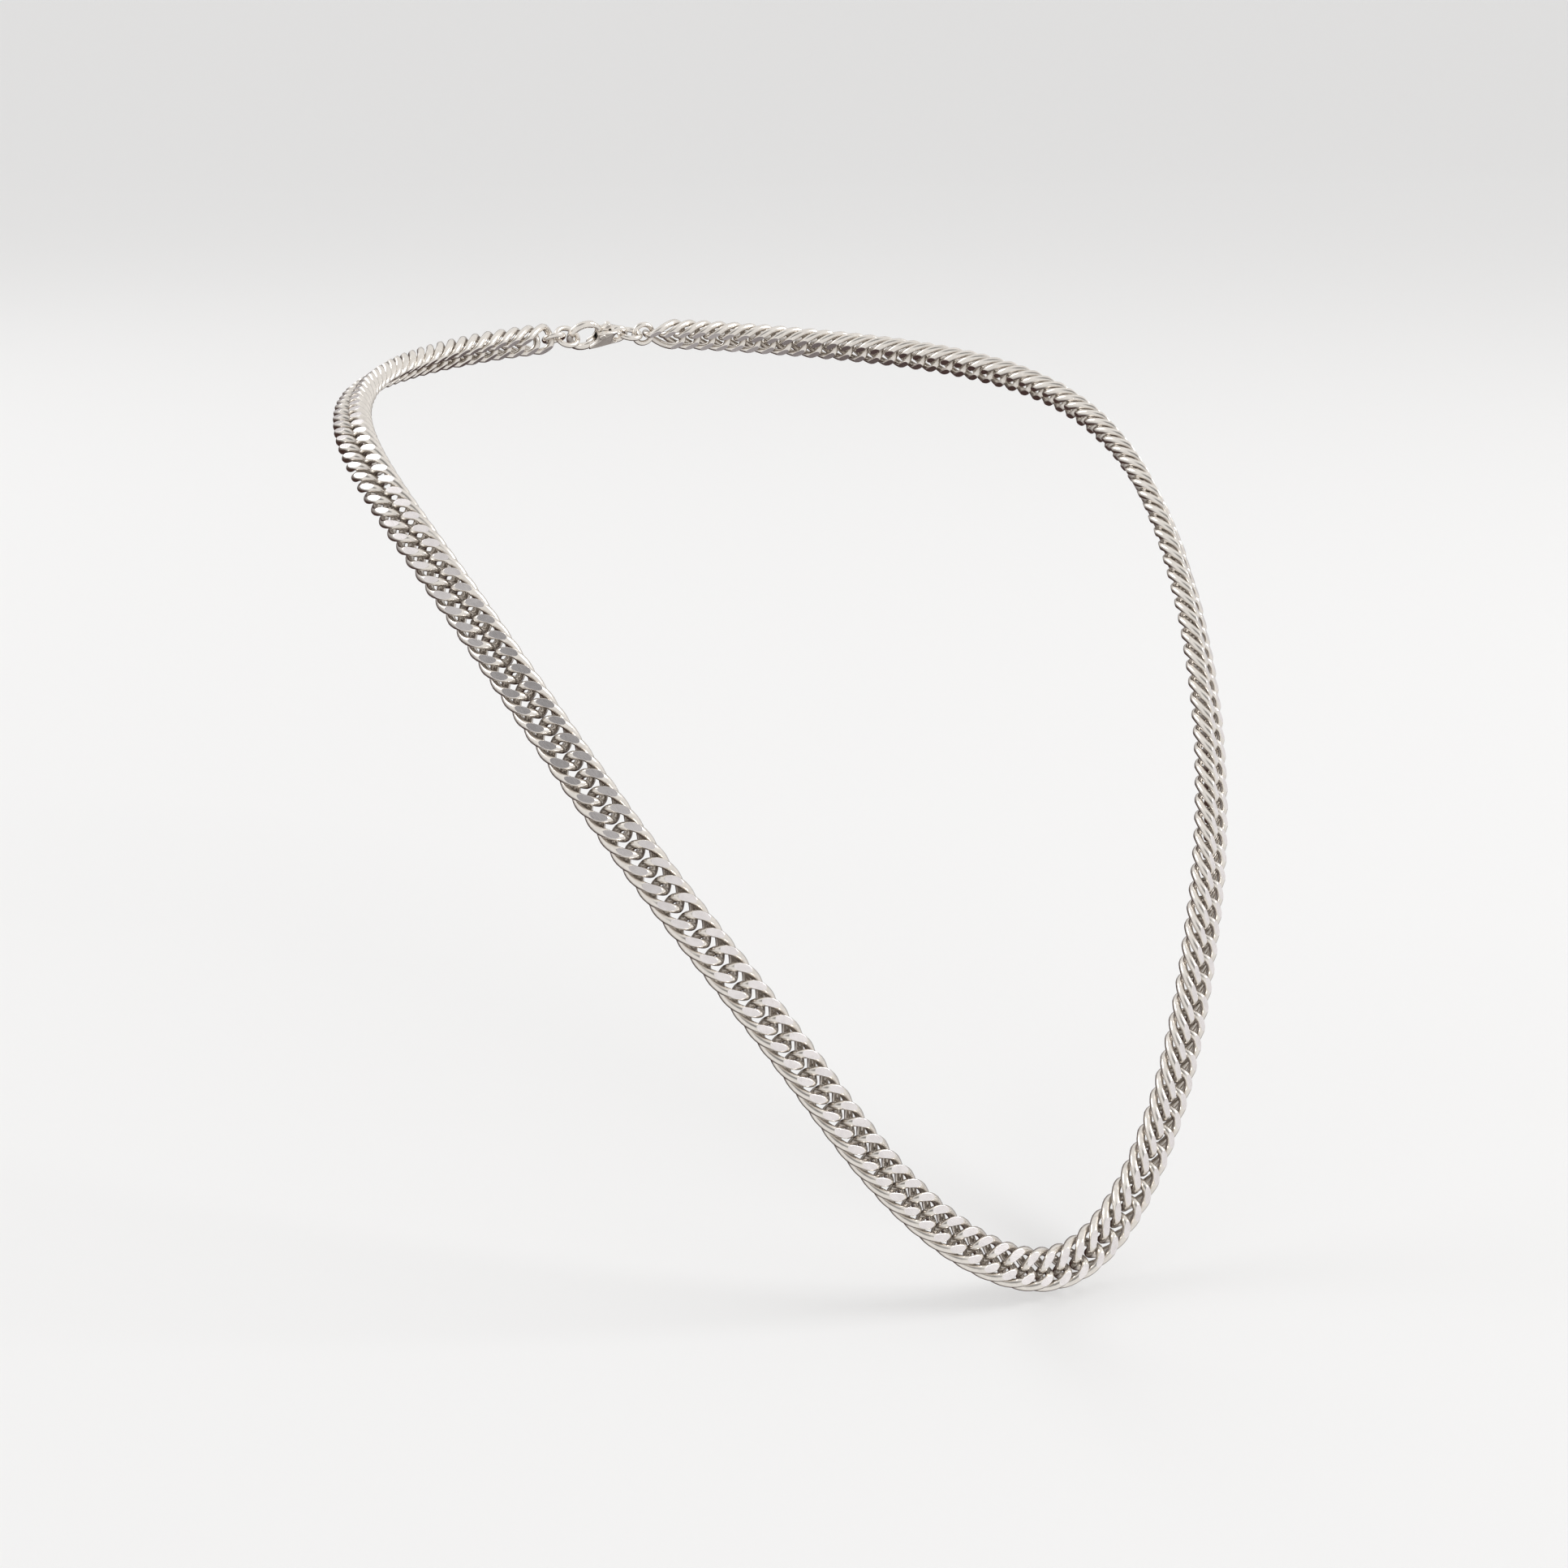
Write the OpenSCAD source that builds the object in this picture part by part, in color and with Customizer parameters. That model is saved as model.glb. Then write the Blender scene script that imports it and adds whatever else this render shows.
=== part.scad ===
// A double curb chain necklace with a sprung claw clasp, draped as it is worn.
// Every link passes through the next two, and its crown is cut flat on both faces.
// Millimetres. The origin is at the nape, +Z is up and the front of the necklace is towards -Y.

/* [Chain] */
// Width of the chain
chain_w = 6.5; // [6:0.1:7]
// Thickness of the chain between its two cut faces
chain_t = 3.3; // [2.9:0.05:3.6]
// Diameter of the wire that a link is bent from
wire_d = 1.3; // [1.1:0.05:1.4]
// Gap between the sides of neighbouring links
side_gap = 0.3; // [0.25:0.01:0.5]
// Free play along the chain where the links are threaded
link_play = 0.3; // [0.2:0.02:0.5]
// Slope of a link's side through the thickness of the chain
side_slope = 31; // [28:0.5:34]
// Slope of a link's rounded end through the thickness of the chain
end_slope = 64.5; // [60:0.5:69]

/* [Necklace] */
// Hinging runs of links on each side
side_runs = 24; // [12:1:24]
// Links in each of those runs
run_links = 3; // [3:1:4]
// Links in the run at the front
front_links = 5; // [5:2:9]
// Links on each side that lie fixed on the nape
nape_links = 11; // [8:1:14]

/* [Rings] */
// Diameter of the wire of the four rings
ring_wire = 1; // [0.8:0.05:1.1]
// Inner diameter of the two jump rings
jump_bore = 2.8; // [2.6:0.1:3.4]
// Inner diameter of the clasp ring and the catch ring
catch_bore = 3.2; // [3:0.1:3.8]
// Play between a ring and what it is threaded through
ring_play = 0.12; // [0.08:0.01:0.2]

/* [Clasp] */
// Inner diameter of the claw
claw_bore = 4.6; // [4.2:0.1:5]
// Diameter of the claw's round bar
claw_bar = 1.4; // [1.2:0.05:1.6]
// Thickness of the clasp's shank
clasp_t = 2.3; // [2.1:0.05:2.8]
// Distance from the middle of the claw to the middle of the tail eye
tail_reach = 7; // [6.8:0.1:8]
// Inner diameter of the tail eye
tail_bore = 2.2; // [2:0.05:2.6]
// Diameter of the tail eye's round bar
tail_bar = 1; // [0.8:0.05:1.2]
// Thickness of the lever
lever_t = 1.1; // [0.8:0.05:1.2]
// Clearance on each side of the lever
lever_play = 0.08; // [0.05:0.01:0.12]
// Diameter of the rivet that the lever turns on
rivet_d = 0.8; // [0.6:0.05:0.9]
// Clearance around the rivet in the lever
rivet_play = 0.05; // [0.03:0.01:0.08]
// Diameter of the rivet's heads
rivet_head_d = 1.4; // [1.2:0.05:1.7]
// Height of the rivet's heads
rivet_head_h = 0.2; // [0.1:0.05:0.3]
// Outer diameter of the lever's spring
spring_d = 0.7; // [0.6:0.02:0.8]
// Diameter of the spring's wire
spring_wire = 0.16; // [0.12:0.02:0.2]
// Turns of the spring
spring_turns = 3; // [2:1:4]

/* [Hidden] */
// Slim arcs are thinner by this and reach this far into the full arcs that they meet
seam_step = 0.02;
seam_lap = 0.06;
// Links are joined at this scale and then enlarged
join_scale = 0.05;
arc_fn = 48;
wire_fn = 24;

// The drape, from the front to the nape: a place and the way that the flats face there
drape_rows = [
    [0, -164, -125, 0, -0.85, 0.55],
    [24, -155, -107, 0.15, -0.9, 0.45],
    [37, -145, -82, 0.2, -0.85, 0.5],
    [53, -128, -57, 0.4, -0.8, 0.55],
    [67, -95, -22, 0.7, -0.6, 0.55],
    [72, -55, -4, 0.65, -0.15, 0.75],
    [44, -5, -3, 0.4, 0.65, 0.65],
    [0, 1, 1, 0, 0.8, 0.6]
];
// The flats lean to the wearer's left all round
face_lean = 0.14;
row_steps = 24;
tangent_step = 0.01;

// One link: two side arcs and four end arcs, each tangent to the next
pitch = (wire_d + side_gap) / sin(side_slope);
link_a = pitch + (wire_d + link_play) / 2;
link_b = (chain_w - wire_d) / 2;
end_reach = link_a * tan(side_slope) / sin(end_slope);
side_turn = 2 * atan((link_b - end_reach * cos(end_slope)) / (link_a / cos(side_slope) + end_reach));
side_r = (link_a / cos(side_slope) - end_reach * cos(side_turn)) / sin(side_turn);
side_dir = [cos(side_slope), 0, -sin(side_slope)];
join_dir = [cos(side_turn) * side_dir.x, -sin(side_turn), cos(side_turn) * side_dir.z];
join_at = [0, link_b - side_r * (1 - cos(side_turn)), 0] + side_r * sin(side_turn) * side_dir;
end_dir = [0, -cos(end_slope), sin(end_slope)];
end_turn = acos(join_dir * end_dir);
end_r = end_reach / tan(end_turn / 2);
end_in = (end_dir - join_dir * (join_dir * end_dir)) / sin(end_turn);

// Places along the chain, as lengths from the middle of the front
half_links = (front_links - 1) / 2 + side_runs * run_links + nape_links;
jump_r = (jump_bore + ring_wire) / 2;
catch_r = (catch_bore + ring_wire) / 2;
ring_step = jump_r + catch_r - ring_wire - ring_play;
ring_seat = ring_wire / 2 + ring_play;
left_end = half_links * pitch;
left_jump_at = left_end + link_a - wire_d / 2 - ring_seat + jump_r;
clasp_ring_at = left_jump_at + ring_step;
tail_at = clasp_ring_at + catch_r + tail_bore / 2 - ring_seat;
claw_at = tail_at + tail_reach;
catch_ring_at = claw_at + claw_bore / 2 - ring_seat + catch_r;
right_jump_at = catch_ring_at + ring_step;
right_end = right_jump_at + left_jump_at - left_end;
loop_len = right_end + left_end;
clasp_at = (tail_at + claw_at) / 2;
clasp_ring_turn = 112;
catch_ring_turn = 85;

// The drape is a closed cubic spline through its rows and their mirror image
function mirrored(r) = [-r[0], r[1], r[2], -r[3], r[4], r[5]];
last_row = len(drape_rows) - 1;
loop_rows = concat(drape_rows, [for (i = [last_row - 1:-1:1]) mirrored(drape_rows[i])]);
loop_n = len(loop_rows);
function loop_row(i) = loop_rows[(i + loop_n) % loop_n];
function spline(i, f) =
    (pow(1 - f, 3) * loop_row(i - 1) + (3 * pow(f, 3) - 6 * f * f + 4) * loop_row(i)
        + (3 * f * f * (1 - f) + 3 * f + 1) * loop_row(i + 1) + pow(f, 3) * loop_row(i + 2)) / 6;
function drape_row(u) = spline(floor(u), u - floor(u));
function place_of(r) = [r[0], r[1], r[2]];
function face_of(r) = [r[3] + face_lean, r[4], r[5]];
function drape_place(u) = place_of(drape_row(u));
function unit(v) = v / norm(v);

// Length along the drape against its parameter, and the scale that fits it to the chain
drape_n = loop_n * row_steps;
drape_steps = [for (k = [0:drape_n - 1]) norm(drape_place((k + 1) / row_steps) - drape_place(k / row_steps))];
drape_len = [for (k = 0, s = 0; k <= drape_n; s = s + (k < drape_n ? drape_steps[k] : 0), k = k + 1)
    [s, k / row_steps]];
fit = loop_len / drape_len[drape_n][0];
nape_place = drape_place(last_row);
function drape_u(s) = lookup(((s + loop_len) % loop_len) / fit, drape_len);
function chain_place(s) = fit * (drape_place(drape_u(s)) - nape_place);
function chain_along(s) =
    unit(drape_place(drape_u(s) + tangent_step) - drape_place(drape_u(s) - tangent_step));
function chain_face(s) = unit(face_of(drape_row(drape_u(s)))
    - chain_along(s) * (chain_along(s) * face_of(drape_row(drape_u(s)))));

// The clasp, in its own plane: the claw's middle at the origin and the tail towards +X
claw_r = claw_bore / 2;
claw_mid = claw_r + claw_bar / 2;
claw_out = claw_r + claw_bar;
tail_mid = (tail_bore + tail_bar) / 2;
bar_sink = 0.15;
claw_from = 72;
claw_to = 345;
// The shank's outline: its root beside the claw, its belly below and its shoulder over the rivet
root_x = 1.4;
root_rise = 0.2;
belly_x = 3;
belly_rise = 0.6;
shoulder_h = 1.2;
brow_h = 0.8;
brow_lap = 0.1;
// The lever: its gate across the claw, its hub on the rivet, its heel on the spring and its thumb tab
gate_from = 14;
gate_to = 70;
gate_inset = 0.12;
gate_steps = 4;
pivot_in = 0.35;
pivot_up = 0.45;
pivot = [claw_out - pivot_in, pivot_up];
hub_wall = 0.4;
hub_d = rivet_d + 2 * hub_wall;
slot_t = lever_t + 2 * lever_play;
slot_floor = -1.15;
tail_land = 0.6;
slot_end = tail_reach - tail_bore / 2 - tail_land;
heel_t = 0.6;
heel_end = slot_end - 2 * lever_play;
tab_turn = 70;
tab_reach = 2.9;
tab_d = 1.2;
// The spring's place on the slot's floor, and how finely it is drawn
spring_x = heel_end - spring_d / 2;
spring_h = pivot.y - heel_t / 2 - slot_floor;
spring_sides = 6;
spring_rings = 12;

function two(k) = str(k < 10 ? "0" : "", k);
left_names = [for (k = [1:side_runs]) str("left_run_", two(k))];
right_names = [for (k = [1:side_runs]) str("right_run_", two(k))];

silver = [0.86, 0.85, 0.83];
bright_silver = [0.9, 0.89, 0.87];
steel = [0.7, 0.71, 0.72];

// Puts its children on the chain: X along it, Z out of its face
module on_chain(s) {
    o = chain_place(s);
    x = chain_along(s);
    z = chain_face(s);
    y = cross(z, x);
    multmatrix([[x.x, y.x, z.x, o.x], [x.y, y.y, z.y, o.y], [x.z, y.z, z.z, o.z], [0, 0, 0, 1]])
        children();
}

// An arc of wire about a centre, from the direction out, heading along go
module wire_arc(centre, out, go, r, from, turn, d, lap) {
    up = cross(out, go);
    over = lap / r * 180 / PI;
    m = join_scale * [out, go, up, centre];
    multmatrix([[m[0].x, m[1].x, m[2].x, m[3].x], [m[0].y, m[1].y, m[2].y, m[3].y],
                [m[0].z, m[1].z, m[2].z, m[3].z], [0, 0, 0, 1]])
        rotate_extrude(angle = turn + 2 * over, start = from - over, $fn = arc_fn)
            translate([r, 0]) circle(d = d, $fn = wire_fn);
}

module link_half(slim_side) {
    slim_d = wire_d - 2 * seam_step;
    side_d = slim_side ? slim_d : wire_d;
    end_d = slim_side ? wire_d : slim_d;
    side_lap = slim_side ? seam_lap : 0;
    end_lap = seam_lap - side_lap;
    side_mid = [0, link_b - side_r, 0];
    wire_arc(side_mid, [0, 1, 0], side_dir, side_r, -side_turn, 2 * side_turn, side_d, side_lap);
    for (half_turn = [0, 180])
        rotate([0, half_turn, 0])
            wire_arc(join_at + end_in * end_r, -end_in, join_dir, end_r, 0, end_turn, end_d, end_lap);
}

module link() {
    scale(1 / join_scale) intersection() {
        union() {
            link_half(true);
            rotate([180, 0, 0]) link_half(false);
        }
        cube(join_scale * [2 * link_a + 2 * wire_d, chain_w + wire_d, chain_t], center = true);
    }
}

module chain_run(first, last) {
    color(silver)
        for (i = [first:last])
            on_chain(i * pitch) link();
}

// Side runs are counted from the nape to the front
module side_run(k, side) {
    last = half_links - nape_links - (k - 1) * run_links;
    first = last - run_links + 1;
    chain_run(side > 0 ? first : -last, side > 0 ? last : -first);
}

module front_run() {
    chain_run(-(front_links - 1) / 2, (front_links - 1) / 2);
}

module left_nape_run() {
    chain_run(half_links - nape_links + 1, half_links);
}

module right_nape_run() {
    chain_run(-half_links, -half_links + nape_links - 1);
}

// A ring threaded along the chain, turned about the chain's own line
module ring(s, r, turn) {
    color(bright_silver)
        on_chain(s) rotate([turn, 0, 0])
            rotate_extrude($fn = arc_fn) translate([r, 0]) circle(d = ring_wire, $fn = wire_fn);
}

module left_jump_ring() {
    ring(left_jump_at, jump_r, 90 - end_slope);
}

module right_jump_ring() {
    ring(right_jump_at, jump_r, end_slope - 90);
}

module clasp_ring() {
    ring(clasp_ring_at, catch_r, clasp_ring_turn);
}

module catch_ring() {
    ring(catch_ring_at, catch_r, catch_ring_turn);
}

// Puts the clasp's own plane on the nape, tail to the left of the wearer and the lever up
module on_clasp() {
    on_chain(clasp_at) rotate([0, 180, 0]) translate([-tail_reach / 2, 0, 0]) children();
}

module shank_outline() {
    difference() {
        polygon([[root_x, root_rise - claw_mid], [belly_x, belly_rise - claw_mid],
                 [slot_end, -tail_mid], [tail_reach, -tail_mid], [tail_reach, tail_mid], [slot_end, tail_mid],
                 [pivot.x, pivot.y + shoulder_h], [claw_r - brow_lap, pivot.y + brow_h], [root_x, 0]]);
        circle(r = claw_r + bar_sink, $fn = arc_fn);
        translate([tail_reach, 0]) circle(d = tail_bore + 2 * bar_sink, $fn = arc_fn);
    }
}

module clasp_body() {
    color(bright_silver)
        on_clasp() difference() {
            union() {
                rotate_extrude(angle = claw_to - claw_from, start = claw_from, $fn = arc_fn)
                    translate([claw_mid, 0]) circle(d = claw_bar, $fn = wire_fn);
                translate([tail_reach, 0, 0]) rotate_extrude($fn = arc_fn)
                    translate([tail_mid, 0]) circle(d = tail_bar, $fn = wire_fn);
                linear_extrude(clasp_t, center = true) shank_outline();
            }
            translate([0, slot_floor, -slot_t / 2]) cube([slot_end, claw_mid, slot_t]);
            translate([pivot.x, pivot.y, 0])
                cylinder(d = rivet_d + seam_step, h = 2 * clasp_t, center = true, $fn = wire_fn);
        }
}

module lever_outline() {
    difference() {
        union() {
            intersection() {
                difference() {
                    circle(r = claw_out - gate_inset, $fn = arc_fn);
                    circle(r = claw_r + gate_inset, $fn = arc_fn);
                }
                polygon(concat([[0, 0]], [for (k = [0:gate_steps])
                    let (a = gate_from + (gate_to - gate_from) * k / gate_steps)
                    2 * claw_out * [cos(a), sin(a)]]));
            }
            translate(pivot) circle(d = hub_d, $fn = arc_fn);
            translate([pivot.x, pivot.y - heel_t / 2]) square([heel_end - pivot.x, heel_t]);
            translate(pivot) rotate(tab_turn) {
                translate([0, -tab_d / 2]) square([tab_reach - tab_d / 2, tab_d]);
                translate([tab_reach - tab_d / 2, 0]) circle(d = tab_d, $fn = arc_fn);
            }
        }
        translate(pivot) circle(d = rivet_d + 2 * rivet_play, $fn = wire_fn);
    }
}

module clasp_lever() {
    color(bright_silver)
        on_clasp() linear_extrude(lever_t, center = true) lever_outline();
}

module lever_rivet() {
    color(silver)
        on_clasp() translate([pivot.x, pivot.y, 0]) {
            cylinder(d = rivet_d, h = clasp_t + rivet_head_h, center = true, $fn = wire_fn);
            for (side = [0, 180])
                rotate([side, 0, 0]) translate([0, 0, clasp_t / 2])
                    cylinder(d = rivet_head_d, h = rivet_head_h, $fn = wire_fn);
        }
}

// The spring stands on the slot's floor and pushes the lever's heel up
module lever_spring() {
    coil_r = (spring_d - spring_wire) / 2;
    climb = spring_h - spring_wire - 2 * lever_play;
    rings = spring_turns * spring_rings;
    points = [for (k = [0:rings], j = [0:spring_sides - 1])
        let (a = 360 * k / spring_rings, b = 360 * j / spring_sides, r = coil_r + spring_wire / 2 * cos(b))
        [r * cos(a), r * sin(a), climb * k / rings + spring_wire / 2 * sin(b)]];
    sides = [for (k = [0:rings - 1], j = [0:spring_sides - 1])
        let (a = k * spring_sides, n = (j + 1) % spring_sides)
        each [[a + j, a + n, a + spring_sides + n], [a + j, a + spring_sides + n, a + spring_sides + j]]];
    cap = rings * spring_sides;
    caps = [for (j = [1:spring_sides - 2]) each [[0, j + 1, j], [cap, cap + j, cap + j + 1]]];
    color(steel)
        on_clasp() translate([spring_x, slot_floor + lever_play + spring_wire / 2, 0]) rotate([-90, 0, 0])
            polyhedron(points = points, faces = concat(sides, caps));
}

front_run();
left_nape_run();
right_nape_run();
for (k = [1:side_runs]) {
    side_run(k, 1);
    side_run(k, -1);
}
left_jump_ring();
right_jump_ring();
clasp_ring();
catch_ring();
clasp_body();
clasp_lever();
lever_rivet();
lever_spring();
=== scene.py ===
import math
import random

import bmesh
import bpy
from mathutils import Matrix, Vector


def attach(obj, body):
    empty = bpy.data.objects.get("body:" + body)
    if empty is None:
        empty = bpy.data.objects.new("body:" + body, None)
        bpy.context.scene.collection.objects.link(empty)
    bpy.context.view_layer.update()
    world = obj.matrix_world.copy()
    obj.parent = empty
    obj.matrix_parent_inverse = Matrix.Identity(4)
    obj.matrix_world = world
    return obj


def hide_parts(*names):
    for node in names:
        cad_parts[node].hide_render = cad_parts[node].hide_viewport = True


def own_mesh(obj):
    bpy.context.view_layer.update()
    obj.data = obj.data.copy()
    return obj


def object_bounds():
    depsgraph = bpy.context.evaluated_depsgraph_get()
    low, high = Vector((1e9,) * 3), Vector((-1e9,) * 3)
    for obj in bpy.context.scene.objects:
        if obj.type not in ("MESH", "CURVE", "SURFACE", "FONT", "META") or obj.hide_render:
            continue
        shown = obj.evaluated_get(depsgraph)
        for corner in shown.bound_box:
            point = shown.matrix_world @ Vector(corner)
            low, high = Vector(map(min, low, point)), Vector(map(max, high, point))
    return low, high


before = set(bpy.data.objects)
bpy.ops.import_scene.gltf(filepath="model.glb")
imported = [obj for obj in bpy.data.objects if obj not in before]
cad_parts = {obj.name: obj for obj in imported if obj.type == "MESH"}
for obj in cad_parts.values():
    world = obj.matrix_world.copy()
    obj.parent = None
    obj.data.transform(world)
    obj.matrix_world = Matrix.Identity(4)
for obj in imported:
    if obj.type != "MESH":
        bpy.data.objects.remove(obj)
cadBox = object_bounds()
mm = 0.001
fullTurn = 360  # degrees
print("frame loaded,", len(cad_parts), "nodes")


# camera, at the angle and distance that the photo was taken from
shot = {
    "place": (-164.1, -359.8, 44.9),  # mm
    "yaw": 30,
    "tilt": 19.2,
    "roll": 1,
    "focal": 45.45,
    "sensor": 36,
    "clip": (0.01, 50),  # m
}


def makeCamera():
    yaw, tilt, roll = (math.radians(shot[k]) for k in ("yaw", "tilt", "roll"))
    forward = Vector((math.sin(yaw) * math.cos(tilt), math.cos(yaw) * math.cos(tilt), -math.sin(tilt)))
    level = Vector((math.cos(yaw), -math.sin(yaw), 0))
    upright = level.cross(forward)
    right = level * math.cos(roll) + upright * math.sin(roll)
    up = upright * math.cos(roll) - level * math.sin(roll)
    data = bpy.data.cameras.new("shotCamera")
    data.sensor_width = shot["sensor"]
    data.lens = shot["focal"]
    data.clip_start, data.clip_end = shot["clip"]
    camera = bpy.data.objects.new("shotCamera", data)
    turn = Matrix((right, up, -forward)).transposed().to_4x4()
    camera.matrix_world = Matrix.Translation(Vector(shot["place"]) * mm) @ turn
    bpy.context.scene.collection.objects.link(camera)
    bpy.context.scene.camera = camera


makeCamera()
print("camera placed")


# the drape: where the chain runs, from the front to the nape, and the way its flats face
drape = {
    "rows": [
        (0, -164, -125, 0, -0.85, 0.55),
        (24, -155, -107, 0.15, -0.9, 0.45),
        (37, -145, -82, 0.2, -0.85, 0.5),
        (53, -128, -57, 0.4, -0.8, 0.55),
        (67, -95, -22, 0.7, -0.6, 0.55),
        (72, -55, -4, 0.65, -0.15, 0.75),
        (44, -5, -3, 0.4, 0.65, 0.65),
        (0, 1, 1, 0, 0.8, 0.6),
    ],
    "faceLean": 0.14,  # towards +x, all round
    "steps": 24,  # samples between rows
    "probe": 0.01,  # share of a row, to find the chain's direction
}

# the link, in mm and degrees
link = {
    "width": 6.5,
    "thick": 3.3,
    "wire": 1.3,
    "sideGap": 0.3,
    "play": 0.3,
    "sideSlope": 31,
    "endSlope": 64.5,
    "sides": 14,  # round the wire
    "sideSteps": 6,
    "endSteps": 7,
    "seamMerge": 0.0065,  # points nearer than this become one
    "rimMerge": 0.04,
    "cutSnap": 0.01,
    "cutEdge": 0.03,  # width of the worn edge round a flat
    "edgeSteps": 2,
    "cutTilt": 1.4,  # most that a flat leans
    "flatFrom": 0.995,  # cosine to the chain's face, past which a surface isn't smoothed
    "kinds": 6,  # slightly different cuts
    "seed": 40,
}

# how the links are shared out
runs = {
    "front": 5,
    "perRun": 3,
    "perSide": 24,
    "nape": 11,
    "seed": 900,
    "patternSpread": 50,  # mm, so that no two links have the same marks
}

# rings and clasp, in mm
fittings = {
    "ringWire": 1.0,
    "jumpBore": 2.8,
    "catchBore": 3.2,
    "ringPlay": 0.12,
    "clawBore": 4.6,
    "tailReach": 7.0,
    "tailBore": 2.2,
}

slope, lean = math.radians(link["sideSlope"]), math.radians(link["endSlope"])
pitch = (link["wire"] + link["sideGap"]) / math.sin(slope)
linkA = pitch + (link["wire"] + link["play"]) / 2
linkB = (link["width"] - link["wire"]) / 2
frontHalf = (runs["front"] - 1) // 2
halfLinks = frontHalf + runs["perSide"] * runs["perRun"] + runs["nape"]
jumpR = (fittings["jumpBore"] + fittings["ringWire"]) / 2
catchR = (fittings["catchBore"] + fittings["ringWire"]) / 2
ringStep = jumpR + catchR - fittings["ringWire"] - fittings["ringPlay"]
ringSeat = fittings["ringWire"] / 2 + fittings["ringPlay"]
leftEnd = halfLinks * pitch
leftJumpAt = leftEnd + linkA - link["wire"] / 2 - ringSeat + jumpR
tailAt = leftJumpAt + ringStep + catchR + fittings["tailBore"] / 2 - ringSeat
clawAt = tailAt + fittings["tailReach"]
catchRingAt = clawAt + fittings["clawBore"] / 2 - ringSeat + catchR
rightEnd = catchRingAt + ringStep + leftJumpAt - leftEnd
loopLength = rightEnd + leftEnd


def mirroredRow(r):
    return (-r[0], r[1], r[2], -r[3], r[4], r[5])


halfRows = drape["rows"]
loopRows = halfRows + [mirroredRow(r) for r in halfRows[-2:0:-1]]


def drapeRow(u):  # cubic B-spline, with the rows as its control points
    i, f = math.floor(u), u - math.floor(u)
    weights = ((1 - f) ** 3, 3 * f ** 3 - 6 * f * f + 4, 3 * f * f * (1 - f) + 3 * f + 1, f ** 3)
    near = [loopRows[(i + k - 1) % len(loopRows)] for k in range(4)]
    row = [sum(w * n[c] for w, n in zip(weights, near)) / 6 for c in range(6)]
    return Vector(row[:3]), Vector((row[3] + drape["faceLean"], row[4], row[5]))


samples = [drapeRow(k / drape["steps"])[0] for k in range(len(loopRows) * drape["steps"] + 1)]
lengths = [0.0]
for before, after in zip(samples, samples[1:]):
    lengths.append(lengths[-1] + (after - before).length)
fit = loopLength / lengths[-1]
napePlace = drapeRow(len(halfRows) - 1)[0]


def drapeAt(s):
    want = (s % loopLength) / fit
    k = next(n for n in range(1, len(lengths)) if lengths[n] >= want or n == len(lengths) - 1)
    share = (want - lengths[k - 1]) / (lengths[k] - lengths[k - 1])
    return (k - 1 + share) / drape["steps"]


def chainFrame(s):  # x along the chain, z out of its face
    u = drapeAt(s)
    place, face = drapeRow(u)
    along = (drapeRow(u + drape["probe"])[0] - drapeRow(u - drape["probe"])[0]).normalized()
    face = (face - along * along.dot(face)).normalized()
    across = face.cross(along)
    turn = Matrix((along, across, face)).transposed().to_4x4()
    return Matrix.Translation((place - napePlace) * fit) @ turn


print("chain laid out,", 2 * halfLinks + 1, "links,", round(loopLength, 1), "mm round")


# materials
noiseSpan = (0.3, 0.7)  # most of a noise's values lie between these


def makeMaterial(name, metallic):
    material = bpy.data.materials.new(name)
    material.use_nodes = True
    tree = material.node_tree
    shader = tree.nodes["Principled BSDF"]
    shader.inputs["Metallic"].default_value = metallic
    return material, tree, shader


def addNode(tree, kind, **values):
    node = tree.nodes.new(kind)
    for key, value in values.items():
        if key in node.inputs:
            node.inputs[key].default_value = value
        else:
            setattr(node, key, value)
    return node


def addNoise(tree, place, settings):
    noise = addNode(tree, "ShaderNodeTexNoise", **settings)
    tree.links.new(place, noise.inputs["Vector"])
    return noise.outputs["Fac"]


def addRamp(tree, source, stops, colours):
    ramp = tree.nodes.new("ShaderNodeValToRGB")
    for element, at, colour in zip(ramp.color_ramp.elements, stops, colours):
        element.position = at
        element.color = (*colour, 1)
    tree.links.new(source, ramp.inputs["Fac"])
    return ramp.outputs["Color"]


def addRange(tree, source, toSpan, fromSpan=noiseSpan):
    remap = tree.nodes.new("ShaderNodeMapRange")
    for key, value in zip(("From Min", "From Max", "To Min", "To Max"), (*fromSpan, *toSpan)):
        remap.inputs[key].default_value = value
    tree.links.new(source, remap.inputs["Value"])
    return remap.outputs["Result"]


def addBump(tree, shader, height, settings):
    bump = addNode(tree, "ShaderNodeBump", **settings)
    tree.links.new(height, bump.inputs["Height"])
    tree.links.new(bump.outputs["Normal"], shader.inputs["Normal"])


# polished wire, with painted shade deep among the wires, its pattern in mm
wireFinish = {
    "bright": (0.95, 0.91, 0.862),
    "dull": (0.87, 0.83, 0.782),
    "cloud": {"Scale": 1.1, "Detail": 4, "Roughness": 0.6},
    "cloudEdge": (0.3, 0.62),
    "roughness": (0.16, 0.27),
    # painted shade: the wire's colour turns warm dark brown deep among the wires, where shade falls
    "paintedShade": (0.2, 0.155, 0.12),
    "paintedShadeShare": 0.4,
    "paintedShadeFrom": 0.12,  # where the painted shade starts: depth among the wires, as a share of half the chain
    "paintedShadeSpan": 0.5,
    "grain": {"Scale": 9, "Detail": 3},
    "bump": {"Strength": 0.12, "Distance": 0.00002},
}


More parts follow.
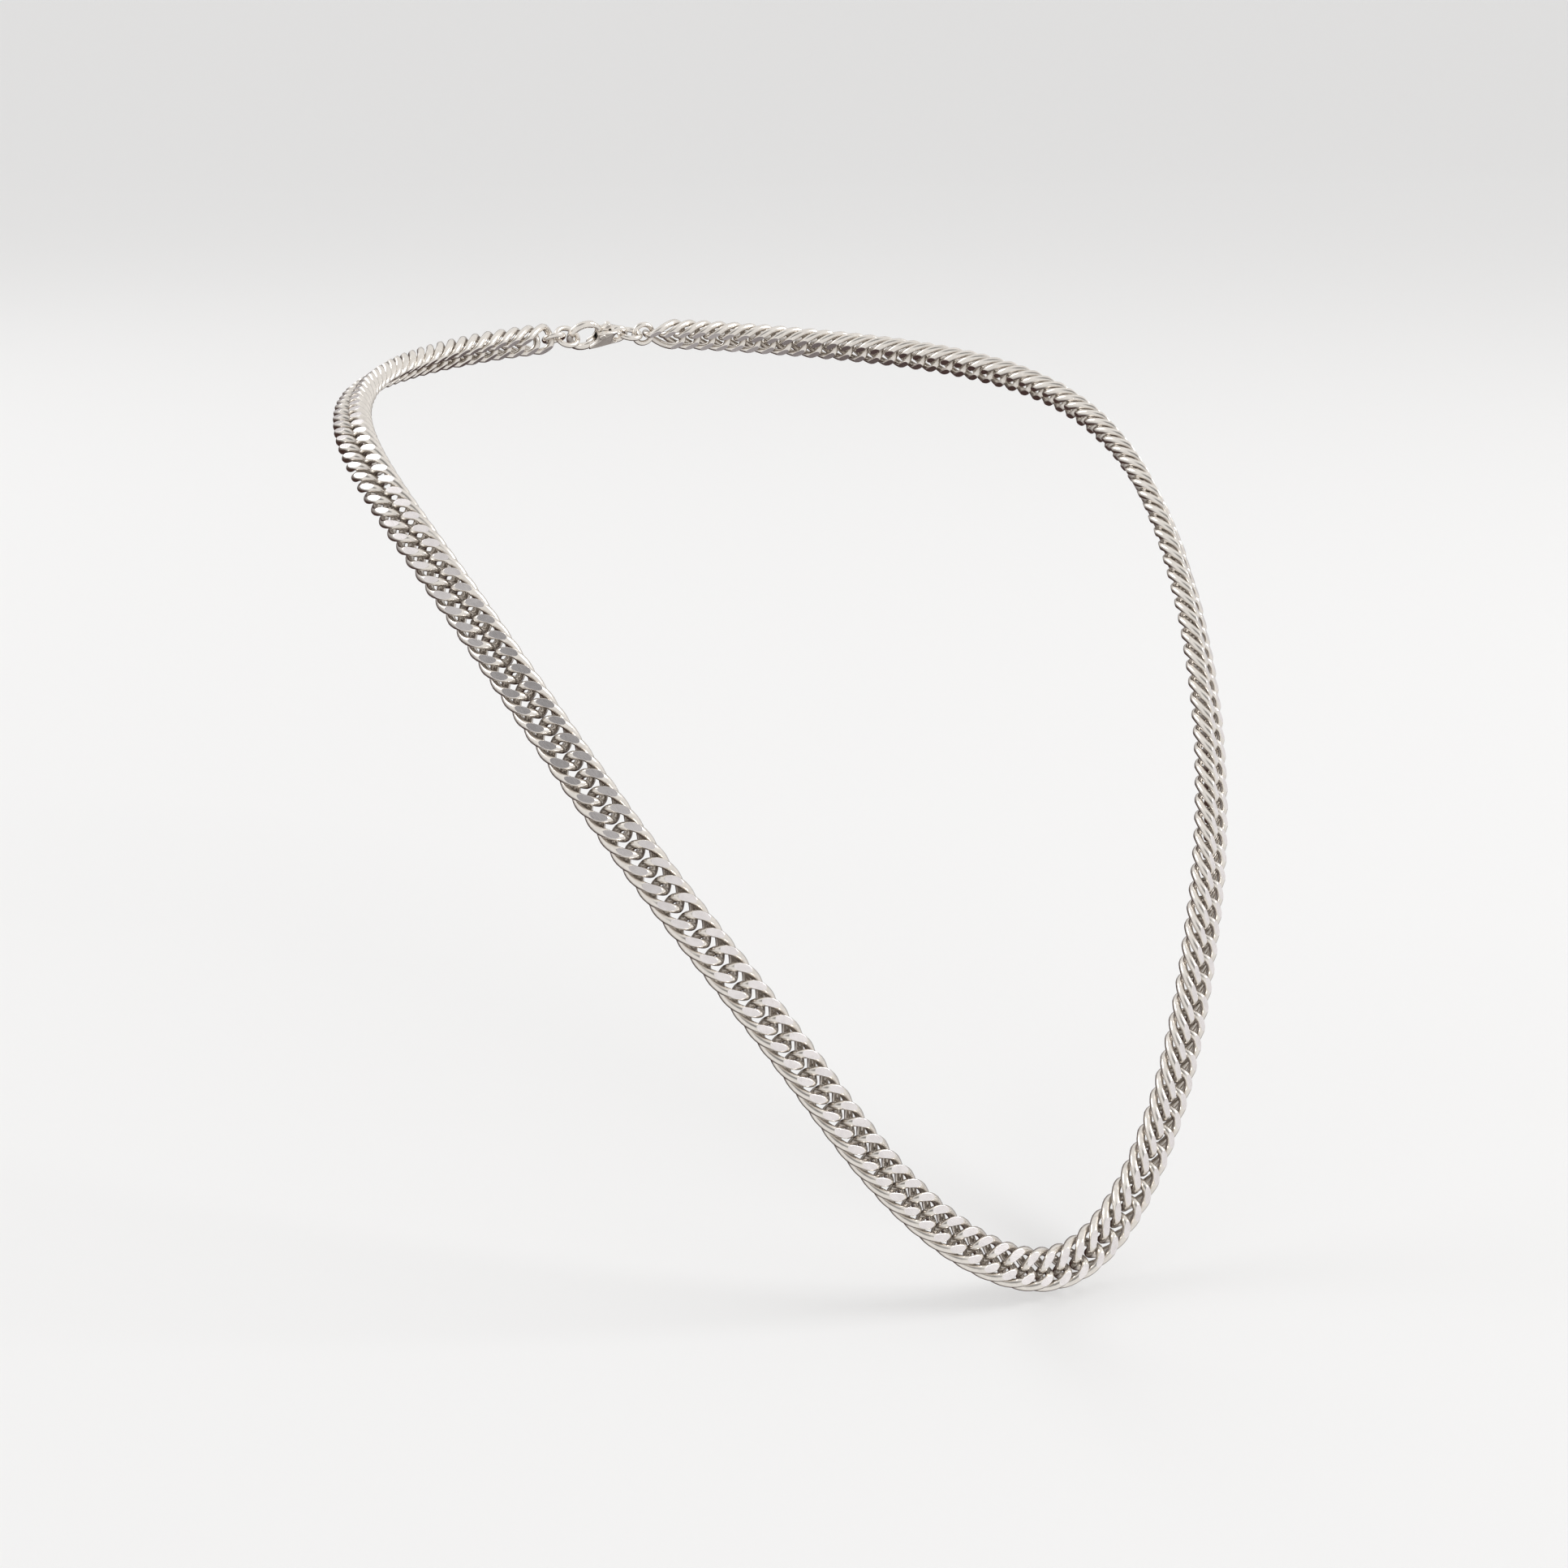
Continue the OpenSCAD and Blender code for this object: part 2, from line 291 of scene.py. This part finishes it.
def wireSilver():
    material, tree, shader = makeMaterial("wireSilver", 1)
    place = addNode(tree, "ShaderNodeAttribute", attribute_name="linkPlace").outputs["Vector"]
    hollow = addNode(tree, "ShaderNodeAttribute", attribute_name="hollow").outputs["Fac"]
    cloud = addNoise(tree, place, wireFinish["cloud"])
    base = addRamp(tree, cloud, wireFinish["cloudEdge"], (wireFinish["dull"], wireFinish["bright"]))
    # painted shade: the base colour is mixed towards warm dark brown by the hollow attribute, most deep
    # among the wires
    shadeMix = addNode(tree, "ShaderNodeMix", data_type="RGBA")
    tree.links.new(base, shadeMix.inputs["A"])
    shadeMix.inputs["B"].default_value = (*wireFinish["paintedShade"], 1)
    deep = addRange(tree, hollow, (0, wireFinish["paintedShadeShare"]), (0, 1))
    tree.links.new(deep, shadeMix.inputs["Factor"])
    tree.links.new(shadeMix.outputs["Result"], shader.inputs["Base Color"])
    tree.links.new(addRange(tree, cloud, wireFinish["roughness"]), shader.inputs["Roughness"])
    addBump(tree, shader, addNoise(tree, place, wireFinish["grain"]), wireFinish["bump"])
    return material


# flats cut on the wire, their pattern in mm
cutFinish = {
    "bright": (0.94, 0.903, 0.908),
    "dull": (0.87, 0.833, 0.839),
    "cloud": {"Scale": 0.8, "Detail": 2},
    "cloudEdge": (0.35, 0.6),
    "roughness": (0.2, 0.34),
    "lineScale": (1.2, 26, 1),  # cutter lines run along the chain
    "lines": {"Scale": 1, "Detail": 3},
    "bump": {"Strength": 0.1, "Distance": 0.00001},
}


def cutSilver():
    material, tree, shader = makeMaterial("cutSilver", 1)
    place = addNode(tree, "ShaderNodeAttribute", attribute_name="linkPlace").outputs["Vector"]
    stretch = addNode(tree, "ShaderNodeMapping", Scale=cutFinish["lineScale"])
    tree.links.new(place, stretch.inputs["Vector"])
    lines = addNoise(tree, stretch.outputs["Vector"], cutFinish["lines"])
    cloud = addNoise(tree, place, cutFinish["cloud"])
    base = addRamp(tree, cloud, cutFinish["cloudEdge"], (cutFinish["dull"], cutFinish["bright"]))
    tree.links.new(base, shader.inputs["Base Color"])
    tree.links.new(addRange(tree, lines, cutFinish["roughness"]), shader.inputs["Roughness"])
    addBump(tree, shader, lines, cutFinish["bump"])
    return material


# rings, clasp and spring, their pattern in metres
fittingFinish = {
    "cloud": {"Scale": 900, "Detail": 4},
    "cloudEdge": (0.3, 0.65),
    "grain": {"Scale": 6000, "Detail": 2},
    "bump": {"Strength": 0.1, "Distance": 0.00001},
    "silverRoughness": (0.14, 0.28),
    "steelBright": (0.62, 0.62, 0.62),
    "steelDull": (0.5, 0.5, 0.51),
    "steelRoughness": (0.25, 0.4),
}


def fittingMetal(name, bright, dull, roughness):
    material, tree, shader = makeMaterial(name, 1)
    place = addNode(tree, "ShaderNodeTexCoord").outputs["Object"]
    cloud = addNoise(tree, place, fittingFinish["cloud"])
    base = addRamp(tree, cloud, fittingFinish["cloudEdge"], (dull, bright))
    tree.links.new(base, shader.inputs["Base Color"])
    tree.links.new(addRange(tree, cloud, roughness), shader.inputs["Roughness"])
    addBump(tree, shader, addNoise(tree, place, fittingFinish["grain"]), fittingFinish["bump"])
    return material


wireMetal, cutMetal = wireSilver(), cutSilver()
claspMetal = fittingMetal("claspSilver", wireFinish["bright"], wireFinish["dull"],
                          fittingFinish["silverRoughness"])
springMetal = fittingMetal("springSteel", fittingFinish["steelBright"], fittingFinish["steelDull"],
                           fittingFinish["steelRoughness"])
print("materials made")


# helpers for meshes
def allOf(bm):
    return bm.verts[:] + bm.edges[:] + bm.faces[:]


def once(things):  # each of them a single time, in their order
    return list(dict.fromkeys(things))


def vertsOf(geom):
    return [g for g in geom if isinstance(g, bmesh.types.BMVert)]


def openEdges(bm):
    return [e for e in bm.edges if e.is_boundary]


def closeHoles(bm):
    return bmesh.ops.holes_fill(bm, edges=openEdges(bm), sides=0)["faces"]


def addObject(name, bm, *metals):
    mesh = bpy.data.meshes.new(name)
    bm.to_mesh(mesh)
    bm.free()
    for metal in metals:
        mesh.materials.append(metal)
    thing = bpy.data.objects.new(name, mesh)
    bpy.context.scene.collection.objects.link(thing)
    return thing


# one link is a wire spun through six arcs, then cut flat on both faces
def linkArcs():
    endReach = linkA * math.tan(slope) / math.sin(lean)
    halfTurn = 2 * math.atan((linkB - endReach * math.cos(lean)) / (linkA / math.cos(slope) + endReach))
    sideR = (linkA / math.cos(slope) - endReach * math.cos(halfTurn)) / math.sin(halfTurn)
    sideWay = Vector((math.cos(slope), 0, -math.sin(slope)))
    top = Vector((0, 1, 0))
    sideMid = top * (linkB - sideR)
    joinWay = sideWay * math.cos(halfTurn) - top * math.sin(halfTurn)
    joinAt = sideMid + (top * math.cos(halfTurn) + sideWay * math.sin(halfTurn)) * sideR
    endWay = Vector((0, -math.cos(lean), math.sin(lean)))
    turn = math.acos(joinWay.dot(endWay))
    endR = endReach / math.tan(turn / 2)
    inward = (endWay - joinWay * joinWay.dot(endWay)).normalized()
    endMid = joinAt + inward * endR
    endAxis = joinWay.cross(endWay).normalized()
    flip = Matrix.Rotation(math.pi, 3, "X")
    halfArcs = [
        (sideMid, top.cross(sideWay), 2 * halfTurn, link["sideSteps"]),
        (endMid, endAxis, turn, link["endSteps"]),
        (flip @ endMid, -(flip @ endAxis), turn, link["endSteps"]),
    ]
    swap = Matrix.Rotation(math.pi, 3, "Z")
    arcs = halfArcs + [(swap @ c, swap @ a, t, n) for c, a, t, n in halfArcs]
    start = sideMid + (top * math.cos(halfTurn) - sideWay * math.sin(halfTurn)) * sideR
    heading = sideWay * math.cos(halfTurn) + top * math.sin(halfTurn)
    return arcs, start, heading


def wireTwist(arcs, heading):  # how far a wire turns on itself once round the link
    mark = heading.orthogonal().normalized()
    carried = mark.copy()
    for _, axis, turn, _ in arcs:
        carried.rotate(Matrix.Rotation(turn, 3, axis))
    return math.atan2(carried.cross(mark).dot(heading), carried.dot(mark))


def spinWire(bm):
    arcs, start, heading = linkArcs()
    untwist = wireTwist(arcs, heading) / sum(arc[3] for arc in arcs)
    place = Matrix.Translation(start) @ heading.to_track_quat("Z", "Y").to_matrix().to_4x4()
    circle = bmesh.ops.create_circle(bm, segments=link["sides"], radius=link["wire"] / 2, matrix=place)
    ring = list(circle["verts"]) + once(e for v in circle["verts"] for e in v.link_edges)
    at = start.copy()
    for centre, axis, turn, steps in arcs:
        angle = turn / steps
        step = Matrix.Rotation(angle, 3, axis)
        for _ in range(steps):
            spun = bmesh.ops.spin(bm, geom=ring, cent=centre, axis=axis, angle=angle, steps=1)
            ring = spun["geom_last"]
            at = centre + step @ (at - centre)
            heading = step @ heading
            back = Matrix.Rotation(untwist, 3, heading)
            bmesh.ops.rotate(bm, verts=vertsOf(ring), cent=at, matrix=back)
    bmesh.ops.remove_doubles(bm, verts=bm.verts, dist=link["seamMerge"])
    bmesh.ops.recalc_face_normals(bm, faces=bm.faces)


def cutFlat(bm, side, tilt):
    out = Vector((tilt[0], tilt[1], side)).normalized()
    at = Vector((0, 0, side * link["thick"] / 2))
    bmesh.ops.bisect_plane(bm, geom=allOf(bm), dist=link["cutSnap"], plane_co=at, plane_no=out,
                           clear_outer=True)
    rimVerts = once(v for e in openEdges(bm) for v in e.verts)
    bmesh.ops.remove_doubles(bm, verts=rimVerts, dist=link["rimMerge"])
    return closeHoles(bm)


def makeLink(kind):
    bm = bmesh.new()
    spinWire(bm)
    draw = random.Random(link["seed"] + kind)
    most = math.tan(math.radians(link["cutTilt"]))
    flats = []
    for side in (1, -1):
        flats += cutFlat(bm, side, (draw.uniform(-most, most), draw.uniform(-most, most)))
    for face in flats:
        face.material_index = 1
    rims = once(e for f in flats for e in f.edges)
    bmesh.ops.bevel(bm, geom=rims, offset=link["cutEdge"], segments=link["edgeSteps"], profile=0.5,
                    affect="EDGES", material=-1)
    bmesh.ops.recalc_face_normals(bm, faces=bm.faces)
    for face in bm.faces:
        face.smooth = abs(face.normal.z) < link["flatFrom"]
    mesh = bpy.data.meshes.new("linkKind%d" % kind)
    bm.to_mesh(mesh)
    bm.free()
    return mesh


linkKinds = [makeLink(k) for k in range(link["kinds"])]
print("links shaped,", len(linkKinds[0].polygons), "faces each")


def hollowAt(p):  # how much painted shade a point gets: 1 deep among the wires, 0 on the outside of the chain
    across = abs(p.y) / (link["width"] / 2)
    through = abs(p.z) / (link["thick"] / 2)
    depth = 1 - max(across, through)
    return min(1, max(0, (depth - wireFinish["paintedShadeFrom"]) / wireFinish["paintedShadeSpan"]))


def makeRun(name, first, last):
    bm = bmesh.new()
    places = bm.verts.layers.float_vector.new("linkPlace")
    hollows = bm.verts.layers.float.new("hollow")
    spread = runs["patternSpread"]
    for i in range(first, last + 1):
        draw = random.Random(runs["seed"] + i)
        done = len(bm.verts)
        bm.from_mesh(draw.choice(linkKinds))
        bm.verts.ensure_lookup_table()
        mine = bm.verts[done:]
        shift = Vector((i * pitch, draw.uniform(0, spread), draw.uniform(0, spread)))
        for v in mine:
            v[places] = v.co + shift
            v[hollows] = hollowAt(v.co)
        bmesh.ops.transform(bm, matrix=Matrix.Scale(mm, 4) @ chainFrame(i * pitch), verts=mine)
    return addObject(name, bm, wireMetal, cutMetal)


def addRun(name, node, body, first, last):
    piece = makeRun(name, first, last)
    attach(piece, body)
    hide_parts(node)


addRun("frontLinks", "front_run", "front", -frontHalf, frontHalf)
for k in range(1, runs["perSide"] + 1):
    last = halfLinks - runs["nape"] - (k - 1) * runs["perRun"]
    first = last - runs["perRun"] + 1
    addRun("leftLinks%02d" % k, "left_run_%02d" % k, "bail_%02d" % k, first, last)
    addRun("rightLinks%02d" % k, "right_run_%02d" % k, "bail_%02d" % k, -last, -first)
addRun("leftNapeLinks", "left_nape_run", "nape", halfLinks - runs["nape"] + 1, halfLinks)
addRun("rightNapeLinks", "right_nape_run", "nape", -halfLinks, -halfLinks + runs["nape"] - 1)
print("chain hung")


# the rings keep their solids
for node in ("left_jump_ring", "right_jump_ring", "clasp_ring", "catch_ring"):
    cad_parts[node].data.materials.clear()
    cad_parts[node].data.materials.append(claspMetal)

# the clasp, in its own plane: the claw's middle at the origin, the tail towards +x, in mm and degrees
clasp = {
    "clawBar": 1.4,
    "claw": (72, 330),
    "tailBar": 1.0,
    "thick": 2.3,
    "slot": 1.26,
    "belly": ((1.4, -2.8), (3, -2.4), (5.3, -1.6), (7, -1.6), (7, -1.25)),
    "shoulder": ((7, 1.6), (5.3, 1.6), (3.35, 1.65), (2.151, 1.173)),
    "floor": ((7, 1.6), (5.5, 1.6), (5.3, 1.4), (5.3, -1.15), (2.163, -1.15)),  # of the lever's slot
    "tailSweep": -180,
    "shoulderSweep": -83.75,
    "floorSweep": -27.15,
    "tailCut": 5.35,  # the tail eye ends in the shank here
    "taperFrom": 5.3,  # towards the tail eye
    "taperSlope": 0.19,
    "edge": 0.16,
    "tipEdge": 0.16,
    "sharp": 50,  # edges that turn more than this are rounded
    "barStep": 5,
    "edgeSteps": 3,
    "sides": 32,
    "arcSteps": 14,
    "flatArea": 0.3,  # larger faces stay flat
    "cutSnap": 0.001,
    "near": 0.01,  # closer than this is the same place
}
upended = Matrix.Rotation(math.pi / 2, 4, "X")  # stands a bar's section across its path


def bevelSharp(bm, width, above=-math.inf):  # edges that lie wholly above a height
    sharp = [e for e in bm.edges if e.calc_face_angle() > math.radians(clasp["sharp"])]
    chosen = [e for e in sharp if min(v.co.z for v in e.verts) > above]
    bmesh.ops.bevel(bm, geom=chosen, offset=width, offset_type="OFFSET", segments=clasp["edgeSteps"],
                    profile=0.5, affect="EDGES", material=-1)


def makeBar(centre, radius, bar, start, stop):  # a round bar bent along a circle
    bm = bmesh.new()
    sweep = stop - start
    closed = sweep == fullTurn
    turn = Matrix.Rotation(math.radians(start), 4, "Z") @ Matrix.Translation((radius, 0, 0))
    place = Matrix.Translation(centre) @ turn @ upended
    bmesh.ops.create_circle(bm, segments=clasp["sides"], radius=bar / 2, matrix=place)
    bmesh.ops.spin(bm, geom=bm.verts[:] + bm.edges[:], cent=centre, axis=(0, 0, 1),
                   angle=math.radians(sweep), steps=round(sweep / clasp["barStep"]), use_merge=closed)
    if not closed:
        closeHoles(bm)
        bmesh.ops.recalc_face_normals(bm, faces=bm.faces)
        bevelSharp(bm, clasp["tipEdge"])
    return bm


def makeTail():
    eye = Vector((fittings["tailReach"], 0, 0))
    bm = makeBar(eye, (fittings["tailBore"] + clasp["tailBar"]) / 2, clasp["tailBar"], 0, fullTurn)
    cut = Vector((clasp["tailCut"], 0, 0))
    bmesh.ops.bisect_plane(bm, geom=allOf(bm), dist=clasp["cutSnap"], plane_co=cut,
                           plane_no=(-1, 0, 0), clear_outer=True)
    closeHoles(bm)
    return bm


def raiseFaces(bm, height):
    top = bmesh.ops.extrude_face_region(bm, geom=bm.faces[:], use_keep_orig=True)["geom"]
    bmesh.ops.translate(bm, verts=vertsOf(top), vec=(0, 0, height))
    bmesh.ops.recalc_face_normals(bm, faces=bm.faces)


def makePlate(corners, arcs, low, high):  # an arc follows the corner that it is listed under
    bm = bmesh.new()
    first = last = bm.verts.new((*corners[0], low))
    for i, corner in enumerate(corners):
        if i:
            point = bm.verts.new((*corner, low))
            bm.edges.new((last, point))
            last = point
        if i in arcs:
            centre, angle = arcs[i]
            spun = bmesh.ops.spin(bm, geom=[last], cent=(*centre, 0), axis=(0, 0, 1),
                                  angle=math.radians(angle), steps=clasp["arcSteps"])
            last = vertsOf(spun["geom_last"])[0]
    if (last.co - first.co).length < clasp["near"]:
        bmesh.ops.weld_verts(bm, targetmap={last: first})
    else:
        bm.edges.new((last, first))
    bmesh.ops.contextual_create(bm, geom=bm.edges[:])
    raiseFaces(bm, high - low)
    return bm


def shankArcs(corners, lastSweep):  # round the tail eye, and back along the claw
    tailArc = ((fittings["tailReach"], 0), clasp["tailSweep"])
    return {len(clasp["belly"]) - 1: tailArc, len(corners) - 1: ((0, 0), lastSweep)}


def makeCheek():
    corners = clasp["belly"] + clasp["shoulder"]
    inside, start = clasp["slot"] / 2, clasp["taperFrom"]
    bm = makePlate(corners, shankArcs(corners, clasp["shoulderSweep"]), inside, clasp["thick"] / 2)
    bmesh.ops.bisect_plane(bm, geom=allOf(bm), dist=clasp["cutSnap"], plane_co=(start, 0, 0),
                           plane_no=(1, 0, 0))
    outside = inside + clasp["near"]
    for v in bm.verts:
        if v.co.z > outside:
            v.co.z -= clasp["taperSlope"] * max(0, v.co.x - start)
    bevelSharp(bm, clasp["edge"], outside)
    return bm


def makeCore():
    corners = clasp["belly"] + clasp["floor"]
    inside = clasp["slot"] / 2
    return makePlate(corners, shankArcs(corners, clasp["floorSweep"]), -inside, inside)


# the lever: gate, hub, heel and thumb tab, in mm and degrees
lever = {
    "thick": 1.1,
    "gate": (16, 70),
    "pivot": (3.35, 0.45),
    "hub": (0.9, 1.6),  # bore and outside
    "heel": (1.79, 0.6),
    "rootAt": 0.5,  # the tab and the heel start in the hub's wall
    "tabTurn": 70,
    "tabReach": 2.9,
    "tabWide": 1.2,
    "tabSweep": 180,  # its end is round
    "edge": 0.18,
}


def makeTab():
    root, side = lever["rootAt"], lever["tabWide"] / 2
    straight = lever["tabReach"] - side
    corners = ((root, -side), (straight, -side), (root, side))
    endArc = {1: ((straight, 0), lever["tabSweep"])}
    bm = makePlate(corners, endArc, -lever["thick"] / 2, lever["thick"] / 2)
    bevelSharp(bm, lever["edge"])
    return bm


def makeHeel():
    root, long, side = lever["rootAt"], lever["heel"][0], lever["heel"][1] / 2
    corners = ((root, -side), (long, -side), (long, side), (root, side))
    bm = makePlate(corners, {}, -lever["thick"] / 2, lever["thick"] / 2)
    bevelSharp(bm, lever["edge"])
    return bm


def makeHub():
    bm = bmesh.new()
    for width in lever["hub"]:
        bmesh.ops.create_circle(bm, segments=clasp["sides"], radius=width / 2)
    bmesh.ops.bridge_loops(bm, edges=bm.edges[:])
    raiseFaces(bm, lever["thick"])
    bmesh.ops.translate(bm, verts=bm.verts, vec=(0, 0, -lever["thick"] / 2))
    return bm


# the rivet and the spring, in mm
rivet = {"shank": 0.8, "head": 1.4, "headHigh": 0.2, "dome": 0.17}
spring = {
    "foot": (4.79, -0.99, 0),
    "radius": 0.27,
    "wire": 0.16,
    "sides": 12,
    "climb": 0.98,
    "turns": 3,
    "steps": 72,
    "keep": 0.35,  # of its height, with the lever open
}


def makeDisc(width, low, high, edge):
    bm = bmesh.new()
    middle = (low + high) / 2
    bmesh.ops.create_cone(bm, cap_ends=True, segments=clasp["sides"], radius1=width / 2,
                          radius2=width / 2, depth=high - low, matrix=Matrix.Translation((0, 0, middle)))
    if edge:
        bevelSharp(bm, edge, middle)
    return bm


def makeSpring():
    bm = bmesh.new()
    place = Matrix.Translation((spring["radius"], 0, 0)) @ upended
    bmesh.ops.create_circle(bm, segments=spring["sides"], radius=spring["wire"] / 2, matrix=place)
    bmesh.ops.spin(bm, geom=bm.verts[:] + bm.edges[:], cent=(0, 0, 0), axis=(0, 0, 1),
                   angle=2 * math.pi * spring["turns"], steps=spring["steps"],
                   dvec=(0, 0, spring["climb"] / spring["steps"]))
    closeHoles(bm)
    bmesh.ops.recalc_face_normals(bm, faces=bm.faces)
    return bm


claspTurn = chainFrame((tailAt + clawAt) / 2) @ Matrix.Rotation(math.pi, 4, "Y")
onClasp = Matrix.Scale(mm, 4) @ claspTurn @ Matrix.Translation((-fittings["tailReach"] / 2, 0, 0))


# each shell comes with its place on the clasp
def makeFitting(name, node, body, shells, metal=claspMetal):
    whole = bmesh.new()
    for bm, place in shells:
        for face in bm.faces:
            face.smooth = face.calc_area() < clasp["flatArea"]
        bmesh.ops.transform(bm, matrix=onClasp @ place, verts=bm.verts)
        shell = bpy.data.meshes.new(name)
        bm.to_mesh(shell)
        bm.free()
        whole.from_mesh(shell)
        bpy.data.meshes.remove(shell)
    bmesh.ops.recalc_face_normals(whole, faces=whole.faces)
    piece = addObject(name, whole, metal)
    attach(piece, body)
    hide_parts(node)
    return piece


asMade, otherFace = Matrix.Identity(4), Matrix.Diagonal((1, 1, -1, 1))
onPivot = Matrix.Translation((*lever["pivot"], 0))
onTab = onPivot @ Matrix.Rotation(math.radians(lever["tabTurn"]), 4, "Z")
clawCentre = Vector((0, 0, 0))
clawRadius = (fittings["clawBore"] + clasp["clawBar"]) / 2
makeFitting("claspBody", "clasp_body", "clasp", [
    (makeBar(clawCentre, clawRadius, clasp["clawBar"], *clasp["claw"]), asMade),
    (makeTail(), asMade),
    (makeCheek(), asMade),
    (makeCheek(), otherFace),
    (makeCore(), asMade),
])
makeFitting("claspLever", "clasp_lever", "lever", [
    (makeBar(clawCentre, clawRadius, lever["thick"], *lever["gate"]), asMade),
    (makeHub(), onPivot),
    (makeHeel(), onPivot),
    (makeTab(), onTab),
])
cheekAt = clasp["thick"] / 2
headAt = cheekAt + rivet["headHigh"]
makeFitting("leverRivet", "lever_rivet", "clasp", [
    (makeDisc(rivet["shank"], -cheekAt, cheekAt, 0), onPivot),
    (makeDisc(rivet["head"], cheekAt, headAt, rivet["dome"]), onPivot),
    (makeDisc(rivet["head"], cheekAt, headAt, rivet["dome"]), onPivot @ otherFace),
])
onFoot = Matrix.Translation(spring["foot"]) @ Matrix.Rotation(-math.pi / 2, 4, "X")
coilShells = [(makeSpring(), onFoot)]
coil = makeFitting("leverSpring", "lever_spring", "clasp", coilShells, springMetal)
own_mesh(coil)
print("clasp finished")


# backdrop and light, in metres
studio = {
    "floorGap": 0.001,  # below the lowest link
    "floorReach": 3,
    "floorSpread": 4,  # times wider than it is deep
    "floorCells": 6,
    "sweepRadius": 1.5,
    "sweepSteps": 16,
    "wallHeight": 4,
    "near": 0.01,  # to find the floor's back edge
    "paper": (0.55, 0.55, 0.552),
    "paperRoughness": 0.9,
    "paperGlow": 0.34,
    "roomLight": 0.8,
    "roomWhite": (1, 0.985, 0.965),
    "roomDark": (0.07, 0.04, 0.034),
    "lightWay": (-0.1, -0.72, 0.68),
    "darkEdge": (-0.85, -0.25),  # cosines from lightWay
    "dimWay": (-0.48, -0.48, 0.73),
    "dimEdge": (0.86, 0.96),  # cosines from dimWay
    "dimShare": 0.32,
    "boxAim": (0, -0.09, -0.06),
    "boxSize": (0.6, 0.5),
    "keyPlace": (1.1, -0.8, 0.9),
    "keyPower": 9,
    "sidePlace": (-0.7, 0.9, 0.8),
    "sidePower": 4,
}


def makeBackdrop():
    bm = bmesh.new()
    reach, radius, cells = studio["floorReach"], studio["sweepRadius"], studio["floorCells"]
    level = cadBox[0][2] - studio["floorGap"]
    bmesh.ops.create_grid(bm, x_segments=cells, y_segments=cells, size=reach)
    bmesh.ops.scale(bm, verts=bm.verts, vec=(studio["floorSpread"], 1, 1))
    bmesh.ops.translate(bm, verts=bm.verts, vec=(0, 0, level))
    back = [e for e in bm.edges if all(v.co.y > reach - studio["near"] for v in e.verts)]
    line = back + once(v for e in back for v in e.verts)
    sweep = bmesh.ops.spin(bm, geom=line, cent=(0, reach, level + radius), axis=(1, 0, 0),
                           angle=math.pi / 2, steps=studio["sweepSteps"])
    topEdges = [g for g in sweep["geom_last"] if isinstance(g, bmesh.types.BMEdge)]
    wall = bmesh.ops.extrude_edge_only(bm, edges=topEdges)["geom"]
    bmesh.ops.translate(bm, verts=vertsOf(wall), vec=(0, 0, studio["wallHeight"]))
    for face in bm.faces:
        face.smooth = True
    material, _, shader = makeMaterial("backdropPaper", 0)
    shader.inputs["Base Color"].default_value = (*studio["paper"], 1)
    shader.inputs["Roughness"].default_value = studio["paperRoughness"]
    shader.inputs["Emission Color"].default_value = (1, 1, 1, 1)
    shader.inputs["Emission Strength"].default_value = studio["paperGlow"]
    paper = addObject("backdrop", bm, material)
    paper.visible_glossy = False


def makeSoftbox(name, place, power):
    data = bpy.data.lights.new(name, "AREA")
    data.shape = "RECTANGLE"
    data.size, data.size_y = studio["boxSize"]
    data.energy = power
    lamp = bpy.data.objects.new(name, data)
    lamp.location = place
    aim = Vector(studio["boxAim"]) - Vector(place)
    lamp.rotation_euler = aim.to_track_quat("-Z", "Y").to_euler()
    bpy.context.scene.collection.objects.link(lamp)


def facing(tree, way, towards, edge, span):
    along = addNode(tree, "ShaderNodeVectorMath", operation="DOT_PRODUCT")
    tree.links.new(way, along.inputs[0])
    along.inputs[1].default_value = Vector(towards).normalized()
    return addRange(tree, along.outputs["Value"], span, edge)


def makeWorld():  # a white room with a dim patch, dark behind the chain
    world = bpy.data.worlds.new("studioWorld")
    world.use_nodes = True
    tree = world.node_tree
    background = tree.nodes["Background"]
    way = addNode(tree, "ShaderNodeTexCoord").outputs["Generated"]
    white = facing(tree, way, studio["lightWay"], studio["darkEdge"], (0, 1))
    colour = addRamp(tree, white, (0, 1), (studio["roomDark"], studio["roomWhite"]))
    tree.links.new(colour, background.inputs["Color"])
    light = studio["roomLight"]
    dim = facing(tree, way, studio["dimWay"], studio["dimEdge"], (light, light * studio["dimShare"]))
    tree.links.new(dim, background.inputs["Strength"])
    bpy.context.scene.world = world


makeBackdrop()
makeSoftbox("keyBox", studio["keyPlace"], studio["keyPower"])
makeSoftbox("sideBox", studio["sidePlace"], studio["sidePower"])
makeWorld()
bpy.context.scene.view_settings.view_transform = "Standard"
print("studio lit")
